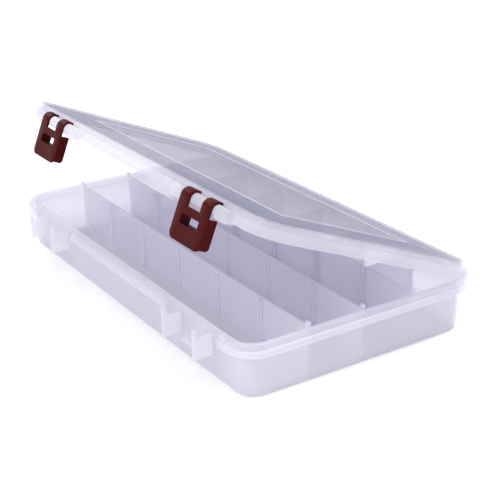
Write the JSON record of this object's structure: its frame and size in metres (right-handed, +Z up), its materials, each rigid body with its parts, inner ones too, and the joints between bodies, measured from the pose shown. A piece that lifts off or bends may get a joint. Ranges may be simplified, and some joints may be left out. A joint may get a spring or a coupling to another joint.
{
  "type": "compartment organizer box",
  "caption": "Shallow hinged storage case: a tray with fixed partitions and slots for lift-out dividers, under a lid held by snap latches.",
  "frame": {"origin": "on the resting plane, under the centre of the tray", "axes": "+X along the length, +Y towards the hinge, +Z up"},
  "size_m": [0.3556, 0.2108, 0.1217],
  "materials": {
    "tray": "frosted translucent polypropylene",
    "lid": "translucent polypropylene, smooth outside",
    "latch": "maroon moulded plastic, satin",
    "divider": "frosted translucent polypropylene"
  },
  "bodies": {
    "tray": {"base_tray": "tray"},
    "lid": {"lid": "lid"},
    "latch_left": {"latch_left": "latch"},
    "latch_right": {"latch_right": "latch"},
    "divider_1": {"divider_1": "divider"},
    "divider_2": {"divider_2": "divider"},
    "divider_3": {"divider_3": "divider"},
    "divider_4": {"divider_4": "divider"},
    "divider_5": {"divider_5": "divider"}
  },
  "joints": [
    {"name": "lid_hinge", "type": "hinge", "parent": "tray", "child": "lid", "pos_m": [0, 0.0992, 0.0379], "axis": [-1, 0, 0], "range_deg": [-22.8, 101]},
    {"name": "latch_left_pivot", "type": "hinge", "parent": "lid", "child": "latch_left", "pos_m": [-0.111, -0.08416, 0.11574], "axis": [-1, 0, 0], "range_deg": [0, 120]},
    {"name": "latch_right_pivot", "type": "hinge", "parent": "lid", "child": "latch_right", "pos_m": [0.111, -0.08416, 0.11574], "axis": [-1, 0, 0], "range_deg": [0, 120]},
    {"name": "divider_1_slide", "type": "slide", "parent": "tray", "child": "divider_1", "axis": [0, 0, 1], "range_m": [0, 0.008]},
    {"name": "divider_2_slide", "type": "slide", "parent": "tray", "child": "divider_2", "axis": [0, 0, 1], "range_m": [0, 0.008]},
    {"name": "divider_3_slide", "type": "slide", "parent": "tray", "child": "divider_3", "axis": [0, 0, 1], "range_m": [0, 0.008]},
    {"name": "divider_4_slide", "type": "slide", "parent": "tray", "child": "divider_4", "axis": [0, 0, 1], "range_m": [0, 0.008]},
    {"name": "divider_5_slide", "type": "slide", "parent": "tray", "child": "divider_5", "axis": [0, 0, 1], "range_m": [0, 0.008]}
  ]
}
